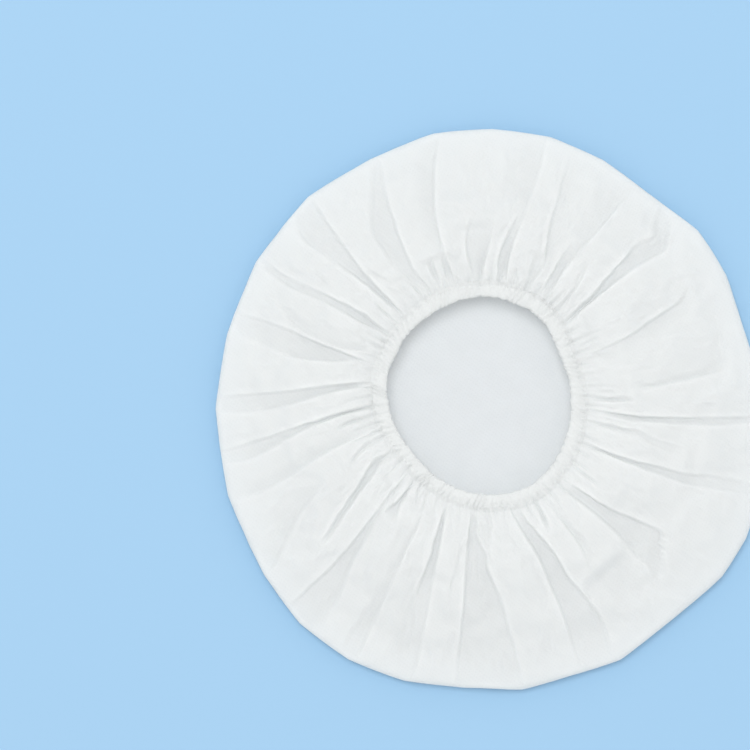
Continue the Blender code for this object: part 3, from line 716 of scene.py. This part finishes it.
def crumpleMoves(skirt):
    c = crumple
    coarse = skirt[::c["rowStep"], ::c["columnStep"]]
    rows, columns = coarse.shape[:2]
    r, k = np.meshgrid(np.arange(rows - 1), np.arange(columns), indexing="ij")
    beside = (k + 1) % columns
    quads = np.stack((r * columns + k, r * columns + beside, (r + 1) * columns + beside,
                      (r + 1) * columns + k), axis=-1)
    piece = pieceFrom("crumpleCloth", coarse.reshape(-1, 3), (quads.reshape(-1, 4),))
    held = piece.vertex_groups.new(name="held")
    for row in range(rows):
        fixed = row < c["heldRows"] or row > rows - c["heldRows"]
        held.add(range(row * columns, (row + 1) * columns), 1.0 if fixed else c["hold"], "REPLACE")
    modifier = piece.modifiers.new("Cloth", "CLOTH")
    settings = modifier.settings
    settings.quality = c["quality"]
    settings.vertex_group_mass = "held"
    settings.pin_stiffness = c["holdStiffness"]
    settings.shrink_min = -c["growth"]
    settings.mass = c["weight"]
    settings.tension_stiffness = settings.compression_stiffness = settings.shear_stiffness = c["stretch"]
    settings.bending_stiffness = c["bend"]
    settings.tension_damping = settings.compression_damping = settings.shear_damping = c["damping"]
    settings.effector_weights.gravity = c["gravity"]
    modifier.point_cache.frame_end = c["frames"]
    for at in range(1, c["frames"] + 1):
        bpy.context.scene.frame_set(at)
    evaluated = piece.evaluated_get(bpy.context.evaluated_depsgraph_get())
    moved = np.empty(rows * columns * 3, dtype=np.float32)
    evaluated.data.vertices.foreach_get("co", moved)
    moves = moved.reshape(rows, columns, 3) - coarse
    bpy.context.scene.frame_set(1)
    bpy.data.objects.remove(piece)
    length = np.linalg.norm(moves, axis=2, keepdims=True)
    print("crumple moves: middle", round(float(np.median(length)) * 1000, 2), "mm, most",
          round(float(length.max()) * 1000, 2), "mm")
    # no point moves further than the reach: its length becomes reach tanh(length / reach)
    moves = moves * c["reach"] * np.tanh(length / c["reach"]) / np.maximum(length, 1e-9)
    fine = between(moves, c["rowStep"], False)
    return between(fine.transpose(1, 0, 2), c["columnStep"], True).transpose(1, 0, 2)


def addNode(tree, kind, inputs=None, **settings):
    # one node, its settings, and its inputs as values or as the outputs that feed them
    node = tree.nodes.new(kind)
    for key, value in settings.items():
        setattr(node, key, value)
    for key, value in (inputs or {}).items():
        if isinstance(value, bpy.types.NodeSocket):
            tree.links.new(value, node.inputs[key])
        else:
            node.inputs[key].default_value = value
    return node


clothLook = dict(
    white=(0.905, 0.917, 0.912), shaded=(0.745, 0.762, 0.766),   # shaded: one layer in a fold is less white, and also painted shade for folds, hem and crown
    through=0.46, rough=0.82, specular=0.20, sheen=0.10, sheenRough=0.6,
    paintedShadeShare=0.35,          # how far the painted shade of a whole fold, the hem and the crown goes to the shaded colour
    fibreTurns=(12, 72, 132), fibreScale=(260, 2400, 1200),
    bondTurn=31, bondPitch=(0.0016, 0.0021), bondUneven=0.12, bondEdge=(0.20, 0.34),
    cloudScale=70.0, crumpleScale=190.0,
    # each with its middle value and its share of shade
    cloudShade=(0.5, 0.30), fibreShade=(0.55, -0.35), bondShade=(0.0, 0.10),
    # each with its height in metres and its strength
    crumpleRelief=(0.0008, 0.35), fibreRelief=(0.00012, 0.55), bondRelief=(-0.00006, 0.6),
)


def fibreField(tree, place):
    # matted fibres: three noises drawn out along directions 60 degrees apart, the highest shown
    highest = None
    for turn in clothLook["fibreTurns"]:
        turned = addNode(tree, "ShaderNodeMapping", {"Vector": place, "Rotation": (0, 0, math.radians(turn)),
                                                     "Scale": clothLook["fibreScale"]})
        noise = addNode(tree, "ShaderNodeTexNoise", {"Vector": turned.outputs[0], "Scale": 1.0, "Detail": 3.0})
        if highest is None:
            highest = noise.outputs["Fac"]
        else:
            highest = addNode(tree, "ShaderNodeMath", {0: highest, 1: noise.outputs["Fac"]},
                              operation="MAXIMUM").outputs[0]
    return highest


def bondField(tree, place):
    # the rows of pressed bond points, 1 where the cloth is pressed thin: dots on a slanted grid
    look = clothLook
    across, along = look["bondPitch"]
    turned = addNode(tree, "ShaderNodeMapping", {"Vector": place, "Scale": (1 / across, 1 / along, 0),
                                                 "Rotation": (0, 0, math.radians(look["bondTurn"]))})
    cells = addNode(tree, "ShaderNodeTexVoronoi", {"Vector": turned.outputs[0], "Scale": 1.0,
                                                   "Randomness": look["bondUneven"]}, voronoi_dimensions="2D")
    low, high = look["bondEdge"]
    return addNode(tree, "ShaderNodeMapRange", {"Value": cells.outputs["Distance"], "From Min": low,
                                                "From Max": high, "To Min": 1.0, "To Max": 0.0}).outputs[0]


def clothMaterial():
    look = clothLook
    material = bpy.data.materials.new("whiteNonwoven")
    material.use_nodes = True
    tree = material.node_tree
    shader = tree.nodes["Principled BSDF"]
    place = addNode(tree, "ShaderNodeTexCoord").outputs["Object"]
    # painted shade: the foldDepth attribute darkens the fold strips, the hem and the crown
    depth = addNode(tree, "ShaderNodeAttribute", attribute_name="foldDepth").outputs["Fac"]
    fibres, bonds = fibreField(tree, place), bondField(tree, place)
    clouds = addNode(tree, "ShaderNodeTexNoise", {"Vector": place, "Scale": look["cloudScale"],
                                                  "Detail": 5.0}).outputs["Fac"]
    # the share of the shaded colour: painted shade from the foldDepth attribute, the uneven laying of the
    # fibres, the points
    shade = addNode(tree, "ShaderNodeMath", {0: depth, 1: look["paintedShadeShare"]}, operation="MULTIPLY").outputs[0]
    for field, name in ((clouds, "cloudShade"), (fibres, "fibreShade"), (bonds, "bondShade")):
        middle, strength = look[name]
        offset = addNode(tree, "ShaderNodeMath", {0: field, 1: middle}, operation="SUBTRACT").outputs[0]
        shade = addNode(tree, "ShaderNodeMath", {0: offset, 1: strength, 2: shade},
                        operation="MULTIPLY_ADD").outputs[0]
    colour = addNode(tree, "ShaderNodeMix", {0: shade, 6: (*look["white"], 1), 7: (*look["shaded"], 1)},
                     data_type="RGBA").outputs[2]
    # the relief: a slight crumple, fibres and sunk points
    creased = addNode(tree, "ShaderNodeTexNoise", {"Vector": place, "Scale": look["crumpleScale"],
                                                   "Detail": 4.0}).outputs["Fac"]
    normal = None
    for field, name in ((creased, "crumpleRelief"), (fibres, "fibreRelief"), (bonds, "bondRelief")):
        distance, strength = look[name]
        inputs = {"Height": field, "Distance": abs(distance), "Strength": strength}
        if normal is not None:
            inputs["Normal"] = normal
        normal = addNode(tree, "ShaderNodeBump", inputs, invert=distance < 0).outputs[0]
    tree.links.new(colour, shader.inputs["Base Color"])
    tree.links.new(normal, shader.inputs["Normal"])
    shader.inputs["Roughness"].default_value = look["rough"]
    shader.inputs["Specular IOR Level"].default_value = look["specular"]
    shader.inputs["Sheen Weight"].default_value = look["sheen"]
    shader.inputs["Sheen Roughness"].default_value = look["sheenRough"]
    through = addNode(tree, "ShaderNodeBsdfTranslucent", {"Color": colour, "Normal": normal})
    lit = addNode(tree, "ShaderNodeAttribute", attribute_name="litThrough").outputs["Fac"]
    share = addNode(tree, "ShaderNodeMath", {0: lit, 1: look["through"]}, operation="MULTIPLY").outputs[0]
    mixed = addNode(tree, "ShaderNodeMixShader", {0: share, 1: shader.outputs[0], 2: through.outputs[0]})
    tree.links.new(mixed.outputs[0], tree.nodes["Material Output"].inputs["Surface"])
    return material


def addField(piece, name, rows, pole):
    # one value for each point of a grid piece and for its pole
    layer = piece.data.attributes.new(name, "FLOAT", "POINT")
    layer.data.foreach_set("value", np.append(np.array(rows).ravel(), pole).astype(np.float32))


def makeCloth(stitches):
    c = cloth
    angle = np.arange(c["columns"]) * 360 / c["columns"]
    hem, (skirt, paintedFoldShade, crests), rim = hemRows(angle), skirtRows(angle), rimRows(angle)
    crown, middle = crownRows(rim[-1])
    skirt = np.array(skirt)
    skirt = list(skirt + crumpleMoves(skirt))
    sheet = gridMesh("capCloth", np.array(hem + skirt + rim + crown), middle)
    # painted shade: the fold strips, the hem and the crown are darker than the puffs; the crown's ring under
    # the hem's edge is kept lighter against its shadow
    level = np.zeros_like(angle)
    paintedShades = ([level + c["hemPaintedShade"]] * len(hem) + paintedFoldShade + [level] * len(rim)
              + [level + share for share in c["crownPaintedShade"]])
    addField(sheet, "foldDepth", paintedShades, c["crownPaintedShade"][-1])
    # how much light comes through: less in the hem's layers, in doubled edges and on the floor
    crests = [level] * len(hem) + crests + [level] * (len(rim) + len(crown))
    lit = np.array([c["hemLit"]] * len(hem) + [1] * len(skirt) + list(np.linspace(1, c["crownLit"], len(rim)))
                   + [c["crownLit"]] * len(crown))
    addField(sheet, "litThrough", lit[:, None] * (1 - c["crestOpaque"] * np.array(crests)), c["crownLit"])
    sheet.data.materials.append(clothMaterial())
    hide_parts("cap_shell", "hem_casing")
    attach(sheet, "root")
    print("cloth made:", len(sheet.data.polygons), "faces")
    return sheet


# The thread: small slanting stitches along the outer side of the hem

thread = dict(
    count=128, uneven=0.5, length=0.0021, radius=0.00015, slant=30, slantWander=14, sides=6, steps=6,
    outset=0.0064,           # from the mouth's inner edge
    rise=0.0001, dip=0.0006, # the middle stands out of the cloth, the ends go down into it
    pull=0.0008, pullWidth=0.0009, pullAngle=0.6,   # how deep and how far it holds the cloth down
    white=(0.90, 0.91, 0.90), shaded=(0.76, 0.78, 0.78), rough=0.6,
    plyScale=900.0, plyUneven=1.5, plyHeight=0.00004, plyStrength=0.6,
)


def makeStitches():
    # round threads along short slanting lines: each is an arch that dips into the cloth at its ends
    # by the cube of the distance from its middle
    t = thread
    count, steps, sides = t["count"], t["steps"], t["sides"]
    angle = stitchPlaces()
    along = np.linspace(-0.5, 0.5, steps)[None, :]
    slant = np.radians(t["slant"] + t["slantWander"] * softNoise(angle, angle * 0, 71, 1, 32))[:, None]
    outset = t["outset"] + along * t["length"] * np.sin(slant)
    arc = np.degrees(t["length"] / (cloth["mouthRadius"] + t["outset"]))
    places = angle[:, None] + along * arc * np.cos(slant)
    flat = mouthPoint(places.ravel(), outset.ravel()).reshape(count, steps, 2)
    height = hemTop(places, outset) + t["rise"] - t["dip"] * (2 * np.abs(along)) ** 3
    way = flat[:, -1] - flat[:, 0]
    way = way / np.linalg.norm(way, axis=1, keepdims=True)
    side = np.column_stack((-way[:, 1], way[:, 0], np.zeros(count)))
    turn = np.arange(sides) * 2 * np.pi / sides
    ring = np.cos(turn)[:, None] * side[:, None, :] + np.sin(turn)[:, None] * np.array((0, 0, 1.0))
    centre = np.concatenate((flat, height[..., None]), axis=2)
    points = centre[:, :, None, :] + t["radius"] * ring[:, None, :, :]
    start = np.arange(count)[:, None, None] * steps * sides
    r, c = np.arange(steps - 1)[None, :, None], np.arange(sides)[None, None, :]
    beside = (c + 1) % sides
    here, further = start + r * sides, start + (r + 1) * sides
    quads = np.stack(np.broadcast_arrays(here + c, here + beside, further + beside, further + c), axis=-1)
    ends = start[:, 0] + np.arange(sides)[None, ::-1]
    stitches = pieceFrom("hemStitches", points.reshape(-1, 3),
                         (quads.reshape(-1, 4), ends, ends[:, ::-1] + (steps - 1) * sides))
    material = bpy.data.materials.new("whiteThread")
    material.use_nodes = True
    tree = material.node_tree
    shader = tree.nodes["Principled BSDF"]
    place = addNode(tree, "ShaderNodeTexCoord").outputs["Object"]
    twist = {"Vector": place, "Scale": t["plyScale"], "Distortion": t["plyUneven"]}
    ply = addNode(tree, "ShaderNodeTexWave", twist, bands_direction="DIAGONAL").outputs["Fac"]
    colour = addNode(tree, "ShaderNodeMix", {0: ply, 6: (*t["white"], 1), 7: (*t["shaded"], 1)},
                     data_type="RGBA").outputs[2]
    normal = addNode(tree, "ShaderNodeBump", {"Height": ply, "Distance": t["plyHeight"],
                                              "Strength": t["plyStrength"]}).outputs[0]
    tree.links.new(colour, shader.inputs["Base Color"])
    tree.links.new(normal, shader.inputs["Normal"])
    shader.inputs["Roughness"].default_value = t["rough"]
    stitches.data.materials.append(material)
    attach(stitches, "root")
    print("stitches made:", count)
    return stitches


# The elastic inside the hem: the CAD ring with a woven look

elasticLook = dict(
    light=(0.83, 0.85, 0.85), dark=(0.71, 0.73, 0.73), rough=0.65,
    strands=2600.0,          # turns of the wave in radians, round the whole ring
    strandShare=0.35, speckleScale=1500.0, relief=0.0001, strength=0.7,
)


def dressElastic():
    look = elasticLook
    material = bpy.data.materials.new("wovenElastic")
    material.use_nodes = True
    tree = material.node_tree
    shader = tree.nodes["Principled BSDF"]
    place = addNode(tree, "ShaderNodeTexCoord").outputs["Object"]
    turns = addNode(tree, "ShaderNodeTexGradient", {"Vector": place}, gradient_type="RADIAL").outputs["Fac"]
    strands = addNode(tree, "ShaderNodeMath", {0: turns, 1: look["strands"]}, operation="MULTIPLY").outputs[0]
    strands = addNode(tree, "ShaderNodeMath", {0: strands}, operation="SINE").outputs[0]
    speckle = addNode(tree, "ShaderNodeTexNoise", {"Vector": place, "Scale": look["speckleScale"],
                                                   "Detail": 2.0}).outputs["Fac"]
    weave = addNode(tree, "ShaderNodeMath", {0: strands, 1: look["strandShare"], 2: speckle},
                    operation="MULTIPLY_ADD").outputs[0]
    colour = addNode(tree, "ShaderNodeMix", {0: weave, 6: (*look["light"], 1), 7: (*look["dark"], 1)},
                     data_type="RGBA").outputs[2]
    normal = addNode(tree, "ShaderNodeBump", {"Height": weave, "Distance": look["relief"],
                                              "Strength": look["strength"]}).outputs[0]
    tree.links.new(colour, shader.inputs["Base Color"])
    tree.links.new(normal, shader.inputs["Normal"])
    shader.inputs["Roughness"].default_value = look["rough"]
    ring = frame["nodes"]["elastic_ring"]
    ring.data.materials.clear()
    ring.data.materials.append(material)
    print("elastic dressed")


makeCamera()
makeLights()
makeFloor()
makeCloth(makeStitches())
dressElastic()
